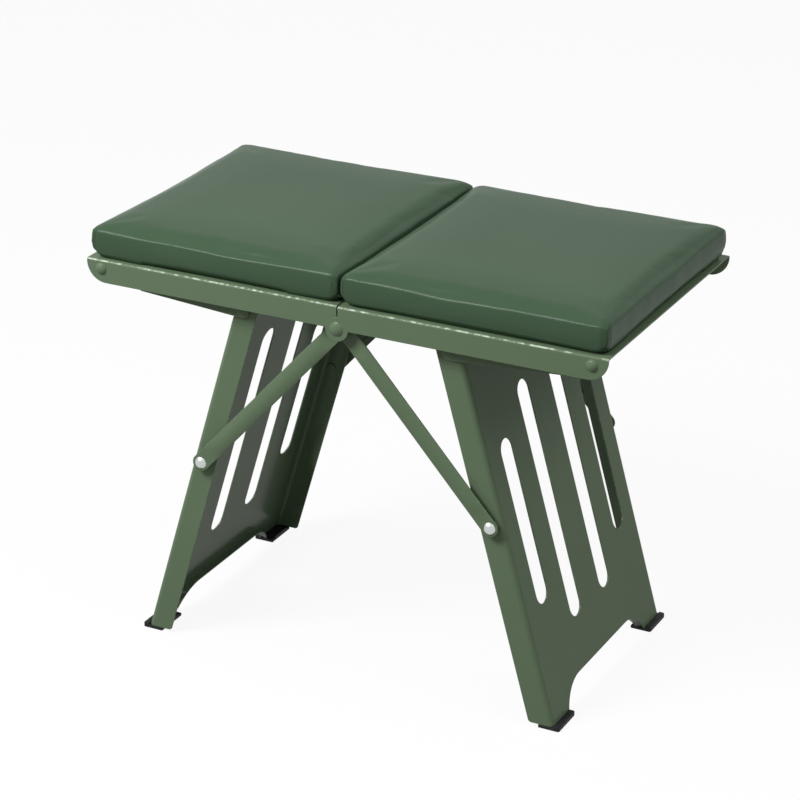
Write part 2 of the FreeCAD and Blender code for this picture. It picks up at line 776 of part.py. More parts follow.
def outward(x, y, z):
    """A turned piece at a point of the half frame, its Z axis pointing out of the near side."""
    angle = 90 if y < 0 else -90
    return Placement(Vector(x, y, sizes.seat_height + z), Rotation(ALONG_X, angle))


def flat(start, end, y):
    """A strip from one pivot to another at a distance from the middle plane, its outer face outwards."""
    way = end - start
    heading = math.degrees(math.atan2(way.z, way.x))
    rotation = Rotation(ALONG_Y, -heading)
    if y > 0:
        rotation = rotation * Rotation(ALONG_X, 180)
    return Placement(Vector(start.x, y, sizes.seat_height + start.z), rotation)


def build_half(name, half):
    seat_place = Placement(Vector(0, 0, sizes.seat_height), Rotation())
    put(seat_tray(name + "_seat_tray"), half, seat_place)
    put(cushion_board(name + "_cushion_board"), half, seat_place)
    cushion_place = Placement(Vector(cushion_middle, 0, sizes.seat_height), Rotation())
    put(cushion(name + "_cushion"), half, cushion_place)
    nodes.append(screw_group(name + "_cushion_screws", half))
    leg_place = Placement(leg_pivot + Vector(0, 0, sizes.seat_height), Rotation(ALONG_Y, -sizes.leg_tilt))
    put(leg_panel(name + "_leg_panel"), half, leg_place)
    for sign in (-1, 1):
        face = "front" if (sign < 0) == (name == "right") else "back"
        label = name + "_" + face + "_"
        put(arm_rivet(label + "arm_rivet"), half, outward(arm_pivot.x, sign * seat_side, arm_pivot.z))
        spacer_length = ("sizes.seat_depth / 2 - sizes.sheet_thickness - linkage.arm_side"
                         " - sizes.sheet_thickness - sizes.side_clearance")
        put(spacer(label + "arm_spacer", "sizes.rivet_radius", spacer_length), half,
            outward(arm_pivot.x, sign * (seat_side - sizes.sheet_thickness), arm_pivot.z))
        arm_middle = arm_side + sizes.sheet_thickness / 2
        lower = "" if sign < 0 else "-"
        put(link_arm(label + "link_arm", lower), half, flat(arm_pivot, leg_pivot, sign * arm_middle))
        put(leg_rivet(label + "leg_rivet"), half, outward(leg_pivot.x, sign * leg_side, leg_pivot.z))
        put(brace_stud(label + "brace_stud"), half, outward(brace_pivot.x, sign * leg_side, brace_pivot.z))
        brace_middle = brace_side + sizes.sheet_thickness / 2
        put(brace(label + "brace"), half, flat(hinge, brace_pivot, sign * brace_middle))
        brace_face = brace_side + sizes.sheet_thickness
        put(brace_rivet(label + "brace_rivet"), half,
            outward(brace_pivot.x, sign * brace_face, brace_pivot.z))
        foot_middle = leg_side + sizes.foot_overhang - foot_length / 2
        foot_place = Placement(Vector(leg_foot.x, sign * foot_middle, 0), Rotation())
        put(foot(label + "foot"), half, foot_place)


def build_hinge(face, half_turn):
    """One middle hinge: the pin outside in, and the spacer between the inner lug and the outer brace."""
    put(hinge_pin(face + "_hinge_pin"), half_turn, outward(hinge.x, -pin_side, hinge.z))
    lugs = 2 * sizes.sheet_thickness + sizes.lug_gap
    length = ("linkage.pin_side - linkage.half_shift - linkage.brace_side - 3 * sizes.sheet_thickness"
              " - sizes.lug_gap - 2 * sizes.side_clearance")
    put(spacer(face + "_hinge_spacer", "sizes.hinge_pin_radius", length), half_turn,
        outward(hinge.x, -(pin_side - lugs - sizes.side_clearance), hinge.z))


no_turn = Placement()
turn_round = Placement(Vector(), Rotation(ALONG_Z, 180))
shift = Placement(Vector(0, -half_shift, 0), Rotation())
build_half("right", shift)
build_half("left", turn_round * shift)
build_hinge("front", no_turn)
build_hinge("back", turn_round)
doc.recompute()

# Checks and export

for item in doc.Objects:
    if "Invalid" in item.State or "Error" in item.State:
        raise RuntimeError("%s failed: %s" % (item.Label, item.State))
for node in nodes:
    if node.Shape.isNull() or not node.Shape.isValid():
        raise RuntimeError("%s has no valid shape" % node.Label)

os.makedirs("parts", exist_ok=True)
for node in nodes:
    node.Shape.exportStep("parts/%s.step" % node.Label)


def swing(centre, start, end):
    """Angle in degrees, seen from the front, from one point to another about a centre."""
    first = start - centre
    last = end - centre
    angle = math.degrees(math.atan2(last.z, last.x) - math.atan2(first.z, first.x))
    return angle % 360


arm_swing = swing(arm_pivot, leg_pivot, folded_pivot)
brace_swing = swing(hinge, brace_pivot, folded_brace_pivot)
leg_swing = arm_swing + 90 + sizes.leg_tilt
print("nodes %d" % len(nodes))
print("arm %.3f, brace %.3f, brace down the leg %.3f" % (arm_length, brace_length, brace_down))
print("fold swings: leg on arm %.4f, arm %.4f, brace %.4f" % (leg_swing, arm_swing, brace_swing))
for name, pivot in (("hinge", hinge), ("arm", arm_pivot), ("leg", leg_pivot), ("brace", brace_pivot)):
    print("%s pivot x %.4f z %.4f" % (name, pivot.x, pivot.z + sizes.seat_height))
print("leg foot x %.4f" % leg_foot.x)
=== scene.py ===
# %% [markdown]
# # A folding steel stool
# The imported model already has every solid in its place: two seat trays, two leg panels, the strips
# of the folding linkage and their rivets. This lesson dresses that frame. It keeps each size and
# joint, and adds what a drawing of solids leaves out: edges rounded by paint, padding that swells,
# grain, gloss and light.

# %% Load the frame
import json
import math

import bmesh
import bpy
from mathutils import Matrix, Vector, noise

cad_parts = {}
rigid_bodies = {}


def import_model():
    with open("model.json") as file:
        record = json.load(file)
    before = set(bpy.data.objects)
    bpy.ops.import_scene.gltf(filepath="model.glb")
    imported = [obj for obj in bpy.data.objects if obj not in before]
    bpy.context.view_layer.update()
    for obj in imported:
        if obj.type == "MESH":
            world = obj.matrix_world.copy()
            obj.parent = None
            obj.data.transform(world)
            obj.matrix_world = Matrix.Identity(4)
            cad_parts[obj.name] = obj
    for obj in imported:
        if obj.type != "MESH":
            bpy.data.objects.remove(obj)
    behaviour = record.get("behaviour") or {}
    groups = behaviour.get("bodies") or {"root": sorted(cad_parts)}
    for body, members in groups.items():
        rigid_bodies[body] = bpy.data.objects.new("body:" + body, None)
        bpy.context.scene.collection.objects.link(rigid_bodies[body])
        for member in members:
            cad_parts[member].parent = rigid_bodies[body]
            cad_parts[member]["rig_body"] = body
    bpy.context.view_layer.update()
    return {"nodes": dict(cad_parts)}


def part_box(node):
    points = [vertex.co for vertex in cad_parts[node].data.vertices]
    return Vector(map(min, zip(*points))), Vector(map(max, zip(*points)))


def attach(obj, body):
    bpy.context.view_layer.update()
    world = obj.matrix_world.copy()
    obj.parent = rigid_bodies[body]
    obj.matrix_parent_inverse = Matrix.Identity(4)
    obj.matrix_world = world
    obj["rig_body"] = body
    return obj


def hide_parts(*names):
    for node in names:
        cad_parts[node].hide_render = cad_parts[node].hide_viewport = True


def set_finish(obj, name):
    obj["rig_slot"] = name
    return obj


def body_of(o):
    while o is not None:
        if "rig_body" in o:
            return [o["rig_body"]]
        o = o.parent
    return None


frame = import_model()
nodes = frame["nodes"]
MM = 0.001
HALVES = ("left", "right")
SIDES = ("front", "back")

# %% [markdown]
# ## Sheet steel under paint
# The trays, legs, arms and braces are stamped from 1.5 mm sheet and powder coated. Paint doesn't
# follow a cut edge sharply. It draws back from it, so the edge ends up round and the coat is
# thinnest there. A bump in the material could fake the shine but not the outline, so each piece is
# a copy of its CAD solid: the loose triangles are merged, the flat faces joined, and each sharp
# edge gets a small bevel. The points along the middle of a bevel also get a number, "rim", which
# the paint reads later to show wear where the coat is thin. The bend along the top of a flange gets
# a larger one, which the paint turns into a painted highlight line.

# %% A helper that copies a CAD solid and merges it
MERGE = 0.001 * MM
FLAT = math.radians(0.5)
SHARP = math.radians(35)


def merged_copy(node_name):
    bm = bmesh.new()
    bm.from_mesh(nodes[node_name].data)
    bmesh.ops.remove_doubles(bm, verts=bm.verts, dist=MERGE)
    bmesh.ops.dissolve_limit(bm, angle_limit=FLAT, verts=bm.verts, edges=bm.edges)
    return bm


def sharp_edges(bm):
    return [edge for edge in bm.edges if edge.is_manifold and edge.calc_face_angle() > SHARP]


tray = merged_copy("left_seat_tray")
print("one tray:", len(tray.faces), "faces after merging,", len(sharp_edges(tray)), "sharp edges")
tray.free()

# %% Helpers that round edges and turn the mesh into a piece
RIM = "rim"
LARGE_FACES_RULE = 100


def round_edges(bm, edges, radius, steps):
    made = bmesh.ops.bevel(
        bm, geom=edges, offset=radius, segments=steps, profile=0.5, affect="EDGES", material=-1
    )
    return set(made["faces"])


def mark_rim(bm, bevel_faces):
    rim = bm.verts.layers.float.new(RIM)
    for vert in bm.verts:
        vert[rim] = float(all(face in bevel_faces for face in vert.link_faces))


def stand_in(bm, node_name, piece_name, slot_name):
    mesh = bpy.data.meshes.new(piece_name)
    bm.to_mesh(mesh)
    bm.free()
    mesh.shade_smooth()
    piece = bpy.data.objects.new(piece_name, mesh)
    bpy.context.scene.collection.objects.link(piece)
    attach(piece, body_of(nodes[node_name])[0])
    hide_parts(node_name)
    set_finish(piece, slot_name)
    return piece


def keep_flats_flat(piece):
    weigh = piece.modifiers.new("flat faces stay flat", "WEIGHTED_NORMAL")
    weigh.weight = LARGE_FACES_RULE


print("thin paint is kept as the number", RIM)

# %% Coat the trays, legs and arms
COAT_EDGE = 0.35 * MM
COAT_STEPS = 2
BENT = 0.5
# The number for a flange bend, which the paint turns into a painted highlight line.
BEND_HIGHLIGHT = 2.4
coated = []


def paint_bend_highlights(bm):
    rim = bm.verts.layers.float[RIM]
    bm.normal_update()
    for vert in bm.verts:
        # On such a bend the normal points up and out at once.
        if abs(vert.normal.y) > BENT and vert.normal.z > BENT:
            # Painted highlight: the bend gets a pale line in the paint.
            vert[rim] = BEND_HIGHLIGHT


def coat(node_name, bm):
    rounded = round_edges(bm, sharp_edges(bm), COAT_EDGE, COAT_STEPS)
    mark_rim(bm, rounded)
    paint_bend_highlights(bm)
    piece = stand_in(bm, node_name, node_name + "_coated", "green_paint")
    keep_flats_flat(piece)
    coated.append(piece)


for half in HALVES:
    for sheet in ("seat_tray", "leg_panel", "front_link_arm", "back_link_arm"):
        coat(f"{half}_{sheet}", merged_copy(f"{half}_{sheet}"))
print(len(coated), "coated sheets,", sum(len(p.data.polygons) for p in coated), "faces")

# %% [markdown]
# ## Braces with a pressed crown
# A thin flat strip would bow sideways under a sitting person, so each brace is pressed to a soft
# crown along its middle, which catches the light above and falls into shade below. The solid has
# a stepped bead of the same height. So the copy's bead is let down flat, the strip is cut into
# lanes along its length, and the lanes are raised to a smooth crown. It fades out before the
# rivet, and earlier at the middle hinge, where the other brace slides over this one.

# %% Helpers that let the bead down and raise the crown
SAME_LEVEL = 0.05 * MM
LANES = 12
FADE_FROM_PIN = 20 * MM
FADE_FROM_RIVET = 11 * MM
FADE_LENGTH = 16 * MM
FADE_CUTS = 4


def middle_of(node_name):
    low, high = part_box(node_name)
    return (low + high) / 2


def let_bead_down(bm):
    crest = max(abs(vert.co.y) for vert in bm.verts)
    face = max(abs(v.co.y) for v in bm.verts if crest - abs(v.co.y) > SAME_LEVEL)
    bead = [vert for vert in bm.verts if crest - abs(vert.co.y) < SAME_LEVEL]
    outward = math.copysign(1, bead[0].co.y)
    bmesh.ops.translate(bm, verts=bead, vec=(0, -outward * (crest - face), 0))
    bmesh.ops.remove_doubles(bm, verts=bm.verts, dist=MERGE)
    return face, crest, outward


def cut_across(bm, point, direction):
    everything = bm.verts[:] + bm.edges[:] + bm.faces[:]
    bmesh.ops.bisect_plane(bm, geom=everything, plane_co=point, plane_no=direction)


def raise_crown(bm, pin, rivet):
    face, crest, outward = let_bead_down(bm)
    span = Vector((rivet.x - pin.x, 0, rivet.z - pin.z))
    along = span.normalized()
    across = Vector((-along.z, 0, along.x))
    half_width = max(abs((vert.co - pin).dot(across)) for vert in bm.verts)
    for lane in range(1, LANES):
        cut_across(bm, pin + across * half_width * (2 * lane / LANES - 1), across)
    for step in range(FADE_CUTS + 1):
        reach = FADE_LENGTH * step / FADE_CUTS
        cut_across(bm, pin + along * (FADE_FROM_PIN + reach), along)
        cut_across(bm, rivet - along * (FADE_FROM_RIVET + reach), along)
    for vert in bm.verts:
        if abs(abs(vert.co.y) - face) > SAME_LEVEL or vert.co.y * outward < 0:
            continue
        place = vert.co - pin
        from_pin = place.dot(along)
        inside_ends = min(from_pin - FADE_FROM_PIN, span.length - from_pin - FADE_FROM_RIVET)
        fade = min(max(inside_ends / FADE_LENGTH, 0.0), 1.0)
        side = min(abs(place.dot(across)) / half_width, 1.0)
        rise = (crest - face) * math.cos(math.pi / 2 * side) * math.sin(math.pi / 2 * fade) ** 2
        vert.co.y += outward * rise
    return crest - face


print(LANES, "lanes across each brace")

# %% Raise and coat the braces
for half in HALVES:
    for side in SIDES:
        brace = merged_copy(f"{half}_{side}_brace")
        pin = middle_of(f"{side}_hinge_pin")
        crown = raise_crown(brace, pin, middle_of(f"{half}_{side}_brace_rivet"))
        coat(f"{half}_{side}_brace", brace)
print("crown", round(crown / MM, 2), "mm high, last brace", len(coated[-1].data.polygons), "faces")

# %% [markdown]
# ## Rubber feet
# Each foot is a small moulded shoe on the leg's lower edge. Rubber can't be moulded with knife
# edges, and feet wear round besides, so these copies get a bevel of nearly a millimetre.

# %% Round the feet
FOOT_EDGE = 0.8 * MM
FOOT_STEPS = 3
feet = []
for half in HALVES:
    for side in SIDES:
        name = f"{half}_{side}_foot"
        shoe = merged_copy(name)
        round_edges(shoe, sharp_edges(shoe), FOOT_EDGE, FOOT_STEPS)
        feet.append(stand_in(shoe, name, name + "_moulded", "rubber"))
        keep_flats_flat(feet[-1])
print(len(feet), "feet of", len(feet[0].data.polygons), "faces")

# %% [markdown]
# ## Cushions
# Each seat half has a foam pad on a board, wrapped in leatherette that is pulled tight underneath.
# Such a pad could be a box with rounded edges, but then it looks like plastic. Foam under a tight
# cover swells where nothing holds it, and lies flat only on the tray. So the pad starts a little
# too low, and Blender's cloth solver blows it up with a light pressure. The start is the CAD
# cushion with the pocket for its board closed.

# %% Close the pocket and take a lower start
START_SCALE = (1.003, 1.003, 0.975)
POCKET_PLAY = 0.4 * MM
TRAY_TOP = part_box("left_cushion")[0].z


def inside(point, low, high, play):
    return all(low[i] - play <= point[i] <= high[i] + play for i in range(3))


def foam_start(half):
    bm = bmesh.new()
    bm.from_mesh(nodes[f"{half}_cushion"].data)
    bmesh.ops.remove_doubles(bm, verts=bm.verts, dist=MERGE)
    low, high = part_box(f"{half}_cushion_board")
    pocket = [f for f in bm.faces if inside(f.calc_center_median(), low, high, POCKET_PLAY)]
    bmesh.ops.delete(bm, geom=pocket, context="FACES")
    bmesh.ops.holes_fill(bm, edges=[e for e in bm.edges if e.is_boundary], sides=0)
    corner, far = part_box(f"{half}_cushion")
    foot = Vector(((corner.x + far.x) / 2, (corner.y + far.y) / 2, TRAY_TOP))
    bmesh.ops.scale(bm, vec=START_SCALE, space=Matrix.Translation(-foot), verts=bm.verts)
    return bm


start = foam_start("left")
open_edges = sum(edge.is_boundary for edge in start.edges)
print("closed pad:", len(start.faces), "faces,", open_edges, "open edges")
start.free()

# %% [markdown]
# ## An even skin
# The solver wants faces of about one size, because long thin triangles fold in odd places. The
# pad could be drawn again by hand in squares, but a voxel remesh wraps any closed shape evenly.
# Modifiers on a scratch object do such work here. Their result is taken as a plain mesh, so the
# finished piece doesn't depend on them.

# %% Remesh the pad evenly
VOXEL = 3.5 * MM


def scratch_object(mesh, name):
    scratch = bpy.data.objects.new(name, mesh)
    bpy.context.scene.collection.objects.link(scratch)
    return scratch


def applied_mesh(scratch):
    graph = bpy.context.evaluated_depsgraph_get()
    return bpy.data.meshes.new_from_object(scratch.evaluated_get(graph), depsgraph=graph)


def even_mesh(bm, name):
    mesh = bpy.data.meshes.new(name)
    bm.to_mesh(mesh)
    bm.free()
    scratch = scratch_object(mesh, name)
    even = scratch.modifiers.new("even quads", "REMESH")
    even.mode = "VOXEL"
    even.voxel_size = VOXEL
    result = applied_mesh(scratch)
    bpy.data.objects.remove(scratch)
    return result


print("voxels of", round(VOXEL / MM, 1), "mm")

# %% [markdown]
# ## Pressure
# The solver takes the skin for cloth round a sealed pad and pushes it outwards. The points that
# rest on the tray are pinned. There is no gravity, because the foam carries its cover. A strong
# pressure draws the sides in and up, so it is weak here, and no point may move further than a
# tight cover would let it.

# %% Blow the pad up with pressure
RESTS = 0.8 * VOXEL
PRESSURE = 0.8
LAST_FRAME = 20
MOST_SWELL = 2.2 * MM


def swollen(mesh, name):
    scratch = scratch_object(mesh, name)
    held = scratch.vertex_groups.new(name="rests on the tray")
    held.add([v.index for v in mesh.vertices if v.co.z < TRAY_TOP + RESTS], 1.0, "REPLACE")
    cloth = scratch.modifiers.new("pressure", "CLOTH")
    cloth.settings.vertex_group_mass = held.name
    cloth.settings.use_pressure = True
    cloth.settings.uniform_pressure_force = PRESSURE
    cloth.settings.effector_weights.gravity = 0
    cloth.point_cache.frame_end = LAST_FRAME
    for step in range(1, LAST_FRAME + 1):
        bpy.context.scene.frame_set(step)
    blown = applied_mesh(scratch)
    bpy.data.objects.remove(scratch)
    bpy.context.scene.frame_set(1)
    return blown


def capped(before, after):
    farthest = 0.0
    for old, new in zip(before.vertices, after.vertices):
        move = new.co - old.co
        farthest = max(farthest, move.length)
        if move.length > MOST_SWELL:
            new.co = old.co + move.normalized() * MOST_SWELL
    print("swelled up to", round(farthest / MM, 1), "mm, capped at", round(MOST_SWELL / MM, 1))
    return after


# %% Make both pads
def pad_mesh(half):
    even = even_mesh(foam_start(half), f"{half}_even_pad")
    return capped(even, swollen(even.copy(), f"{half}_swollen_pad"))


pads = {half: pad_mesh(half) for half in HALVES}
print({half: len(mesh.polygons) for half, mesh in pads.items()}, "faces")

# %% [markdown]
# ## A cover drawn down the sides
# The leatherette is stapled under the board, and the pull of the staples draws it straight down
# the sides. Above that it keeps a soft shoulder, and a wavy crease shows where the two meet. The
# solver could be given sewing springs for this. Moving the points is simpler, and one number says
# how far: each point below the crease goes that share of the way out to the upright side of the
# CAD cushion.

# %% Pull the cover tight down the sides
SQUARENESS = 0.65
FULLY_FACING = 0.8
CREASE_HEIGHT = 25 * MM
CREASE_SWAY = 1.6 * MM
CREASE_BLUR = 1.5 * MM
SWAY_WAVE = 60 * MM
SWAY_SHIFT = 9


def pull_cover(bm, half):
    low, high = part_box(f"{half}_cushion")
    middle = (low + high) / 2
    reach = (high - low) / 2
    off_y = (max(v.co.y for v in bm.verts) + min(v.co.y for v in bm.verts)) / 2 - middle.y
    bm.normal_update()
    for vert in bm.verts:
        vert.co.y -= off_y
        sway = CREASE_SWAY * noise.noise(vert.co / SWAY_WAVE + middle * SWAY_SHIFT)
        under = (TRAY_TOP + CREASE_HEIGHT + sway - vert.co.z) / CREASE_BLUR
        drawn = SQUARENESS * min(max(0.5 + under / 2, 0.0), 1.0)
        for axis in (0, 1):
            away = vert.co[axis] - middle[axis]
            facing = max(math.copysign(vert.normal[axis], away * vert.normal[axis]), 0.0)
            hollow = reach[axis] - abs(away)
            tight = drawn * min(facing / FULLY_FACING, 1.0) ** 2
            vert.co[axis] += math.copysign(hollow * tight, hollow * away)


print("crease", round(CREASE_HEIGHT / MM, 1), "mm above the tray")

# %% [markdown]
# ## Folds in the cover
# A flat sheet of leatherette can't go round a corner without folding, so the maker gathers it into
# small pleats there, and the pull of the staples below puckers the sides. These are finer than the
# solver's mesh, so they come after it: the mesh is divided once, and each point on the sides is
# moved in or out by a little noise, and drawn in along each pleat. A number, "fold", keeps how
# deep in a pleat each point lies, so that the cover's colour can paint shade into each pleat.

# %% Pucker the sides and pleat the corners
PUCKER = 0.5 * MM
PUCKER_WAVE = 24 * MM
PUCKER_STRETCH = 0.3
PUCKER_TOP = 0.95
PAD_HEIGHT = 31.5 * MM
CORNER = 6 * MM
PLEAT_DEPTH = 0.6 * MM
PLEAT_WIDTH = 1.4 * MM
PLEAT_FOOT = -0.1
PLEAT_ANGLES = (math.radians(14), math.radians(52), math.radians(80))
FOLD = "fold"


def hump(height, low, high):
    part = min(max((height - low) / (high - low), 0.0), 1.0)
    return math.sin(math.pi * part)


def pleat(point, middle, reach):
    dx = abs(point.x - middle.x) - (reach.x - CORNER)
    dy = abs(point.y - middle.y) - (reach.y - CORNER)
    if dx <= 0 or dy <= 0:
        return 0.0
    turn = math.atan2(dy, dx)
    away = [(turn - angle) * math.hypot(dx, dy) / PLEAT_WIDTH for angle in PLEAT_ANGLES]
    return sum(math.exp(-(a * a)) for a in away)


def fold_cover(bm, half):
    low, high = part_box(f"{half}_cushion")
    middle = (low + high) / 2
    reach = (high - low) / 2
    fold = bm.verts.layers.float.new(FOLD)
    bm.normal_update()
    for vert in bm.verts:
        out = Vector((vert.normal.x, vert.normal.y, 0))
        height = (vert.co.z - TRAY_TOP) / PAD_HEIGHT
        on_side = out.length * hump(height, 0.0, PUCKER_TOP)
        spot = Vector((vert.co.x, vert.co.y, vert.co.z * PUCKER_STRETCH))
        wave = noise.noise(spot / PUCKER_WAVE)
        drawn = pleat(vert.co, middle, reach) * hump(height, PLEAT_FOOT, 1.0)
        # How deep in a corner pleat the point lies, which the cover's colour turns into painted
        # shade.
        vert[fold] = min(drawn, 1.0) * out.length
        vert.co += out * (PUCKER * wave * on_side - PLEAT_DEPTH * drawn * out.length)


print(len(PLEAT_ANGLES), "pleats at each corner")

# %% [markdown]
# ## The pocket
# The board sits in the underside of the foam. The remesh closed that pocket, so it is opened once
# the top is finished: the underside is laid flat on the tray, and the faces below the board are
# pushed up by a little more than its thickness. A boolean would do it too, but leaves long thin
# faces round the hole.

# %% Open the pocket for the board again
UNDERSIDE = 1.2 * MM
FACES_DOWN = -0.8
FLAT_DOWN = -0.9
BOARD_PLAY = 1.6 * MM
POCKET_DEPTH = 6.4 * MM
CLEAR_OF_TRAY = 0.05 * MM


def open_pocket(bm, half):
    for vert in bm.verts:
        if vert.co.z < TRAY_TOP + UNDERSIDE and vert.normal.z < FACES_DOWN:
            vert.co.z = TRAY_TOP + CLEAR_OF_TRAY
    low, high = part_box(f"{half}_cushion_board")
    under = [face for face in bm.faces if face.normal.z < FLAT_DOWN]
    below = [f for f in under if inside(f.calc_center_median(), low, high, BOARD_PLAY)]
    raised = bmesh.ops.extrude_face_region(bm, geom=below)
    roof = [part for part in raised["geom"] if isinstance(part, bmesh.types.BMVert)]
    bmesh.ops.translate(bm, verts=roof, vec=(0, 0, POCKET_DEPTH))


print("pocket", round(POCKET_DEPTH / MM, 1), "mm deep")

# %% Finish the cushions
SMOOTH_SHARE = 0.5


def finished_pad(half):
    scratch = scratch_object(pads[half], f"{half}_divided_pad")
    divide = scratch.modifiers.new("divide", "SUBSURF")
    divide.levels = 1
    divide.render_levels = 1
    bm = bmesh.new()
    bm.from_mesh(applied_mesh(scratch))
    bpy.data.objects.remove(scratch)
    bmesh.ops.smooth_vert(
        bm, verts=bm.verts, factor=SMOOTH_SHARE, use_axis_x=True, use_axis_y=True, use_axis_z=True
    )
    pull_cover(bm, half)
    fold_cover(bm, half)
    open_pocket(bm, half)
    return bm


cushions = []
for half in HALVES:
    name = f"{half}_cushion"
    cushions.append(stand_in(finished_pad(half), name, f"{half}_wrapped_cushion", "leatherette"))
    size = cushions[-1].dimensions
    print(name, [round(s / MM, 1) for s in size], "mm,", len(cushions[-1].data.polygons), "faces")

# %% [markdown]
# ## Making materials
# Every finish below is a small tree of nodes. Colours are written as sRGB hex, which is what a
# colour picker shows, while shaders work in linear light, so one function converts them. Another
# adds a node, sets its properties, and either sets or links its inputs. The short ones after it
# are the steps that most finishes share. A mix node has an A and a B for every kind of data, so
# those for colour are picked by number.

# %% Colour and node helpers
MIX_A = 6
MIX_B = 7
MIX_COLOUR = 2


def linear(hex_colour):
    channels = [int(hex_colour[i : i + 2], 16) / 255 for i in (1, 3, 5)]
    return [c / 12.92 if c <= 0.04045 else ((c + 0.055) / 1.055) ** 2.4 for c in channels] + [1.0]


def add_node(tree, kind, settings=None, inputs=None):
    node = tree.nodes.new("ShaderNode" + kind)
    for name, value in (settings or {}).items():
        setattr(node, name, value)
    for name, value in (inputs or {}).items():
        if isinstance(value, bpy.types.NodeSocket):
            tree.links.new(value, node.inputs[name])
        else:
            node.inputs[name].default_value = value
    return node


def new_material(name, **constants):
    material = bpy.data.materials.new(name)
    material.use_nodes = True
    shader = material.node_tree.nodes["Principled BSDF"]
    for socket, value in constants.items():
        shader.inputs[socket.replace("_", " ")].default_value = value
    return material, material.node_tree, shader


print("a mid grey is", round(linear("#808080")[0], 3), "in linear light")

# %% Steps that the finishes share
def per_metre(millimetres):
    return 1 / (millimetres * MM)


def waves(tree, place, length, detail):
    inputs = {"Vector": place, "Scale": per_metre(length), "Detail": detail}
    return add_node(tree, "TexNoise", inputs=inputs).outputs["Fac"]


def mixed(tree, factor, first, second):
    inputs = {"Factor": factor, MIX_A: first, MIX_B: second}
    return add_node(tree, "Mix", {"data_type": "RGBA"}, inputs).outputs[MIX_COLOUR]


def spread(tree, value, low, high):
    inputs = {"Value": value, "To Min": low, "To Max": high}
    return add_node(tree, "MapRange", inputs=inputs).outputs["Result"]


def bumps(tree, height, strength, depth, **settings):
    inputs = {"Strength": strength, "Distance": depth * MM, "Height": height}
    return add_node(tree, "Bump", settings, inputs).outputs["Normal"]


def link_finish(tree, shader, **sockets):
    for name, socket in sockets.items():
        tree.links.new(socket, shader.inputs[name.replace("_", " ")])


print("waves of 2 mm are", round(per_metre(2)), "to the metre")

# %% [markdown]
# ## Powder-coated steel
# Powder paint is sprayed dry, clings by its charge and is melted in an oven. It flows out to a
# satin skin with a faint orange peel, waves of about two millimetres. The peel breaks up the
# reflection of a lamp. Along the rims, where the coat is thin, it is worn pale in patches. Over the
# bend of a flange the same pale colour in the same patches is a painted highlight line. The gloss
# is a thin clear coat over a base that hardly mirrors. An ordinary base would mirror the white
# room at low angles, and the green would look washed out.

# %% The green coat
PEEL = 2.2
PEEL_DEPTH = 0.15
CLOUD = 70
PATCH_NOISE_SIZE = 5
PALE_FROM = 0.45
PALE_FULLY = 0.7
PALE_SHARE = 0.55
powder_coat, tree, shader = new_material(
    "powder_coated_steel_green", Specular_IOR_Level=0.02, Coat_Weight=0.14, Coat_Roughness=0.15
)
place = add_node(tree, "TexCoord").outputs["Object"]
cloud = waves(tree, place, CLOUD, detail=4)
coat_colour = mixed(tree, cloud, linear("#61745A"), linear("#687B61"))
# Noise patches that break up both the wear on the rims and the painted highlight on the bends.
patch_noise = waves(tree, place, PATCH_NOISE_SIZE, detail=3)
pale_patches = add_node(
    tree,
    "MapRange",
    inputs={
        "Value": patch_noise,
        "From Min": PALE_FROM,
        "From Max": PALE_FULLY,
        "To Max": PALE_SHARE,
    },
)
rim = add_node(tree, "Attribute", {"attribute_name": RIM})
worn_and_highlit = add_node(
    tree, "Math", {"operation": "MULTIPLY"}, {0: rim.outputs["Fac"], 1: pale_patches.outputs["Result"]}
)
# Wear on the rims and a painted highlight over the bends both turn the coat this pale green.
worn_and_highlit_colour = mixed(tree, worn_and_highlit.outputs["Value"], coat_colour, linear("#C0CBBA"))
gloss = spread(tree, cloud, low=0.26, high=0.36)
peel = waves(tree, place, PEEL, detail=2)
dimples = bumps(tree, peel, strength=0.1, depth=PEEL_DEPTH)
link_finish(tree, shader, Base_Color=worn_and_highlit_colour, Roughness=gloss, Normal=dimples)
print(powder_coat.name, "with", len(tree.nodes), "nodes")

# %% [markdown]
# ## Leatherette
# The cover is PVC on a knitted back, embossed by a hot roller with a pebble grain. Real pebbles
# are about a millimetre, which is one pixel here and would only sparkle, so they are drawn at
# nearly two. The skin is a soft satin, made like the paint as a clear coat over a dull base. It
# is a little duller in the grooves, and the bottom of each corner pleat is darkened as painted
# shade.

# %% The grained cover
PEBBLE = 1.8
PEBBLE_DEPTH = 0.25
PORE = 0.7
PORE_SHARE = 0.25
TONE = 90
# Pleat depth for the fullest painted shade, and how far towards the dark green it goes.
FULL_FOLD = 1.2
FOLD_SHADE = 0.5
leatherette, tree, shader = new_material(
    "grained_pvc_leatherette_green", Specular_IOR_Level=0.02, Coat_Weight=0.25, Coat_Roughness=0.28
)
place = add_node(tree, "TexCoord").outputs["Object"]
tone = waves(tree, place, TONE, detail=4)
skin_colour = mixed(tree, tone, linear("#3B523C"), linear("#415842"))
pebbles = add_node(
    tree,
    "TexVoronoi",
    {"feature": "SMOOTH_F1"},
    {"Vector": place, "Scale": per_metre(PEBBLE), "Smoothness": 0.4},
).outputs["Distance"]
pores = waves(tree, place, PORE, detail=2)
fold = add_node(tree, "Attribute", {"attribute_name": FOLD})
shade = add_node(
    tree,
    "MapRange",
    inputs={"Value": fold.outputs["Fac"], "From Max": FULL_FOLD, "To Max": FOLD_SHADE},
)
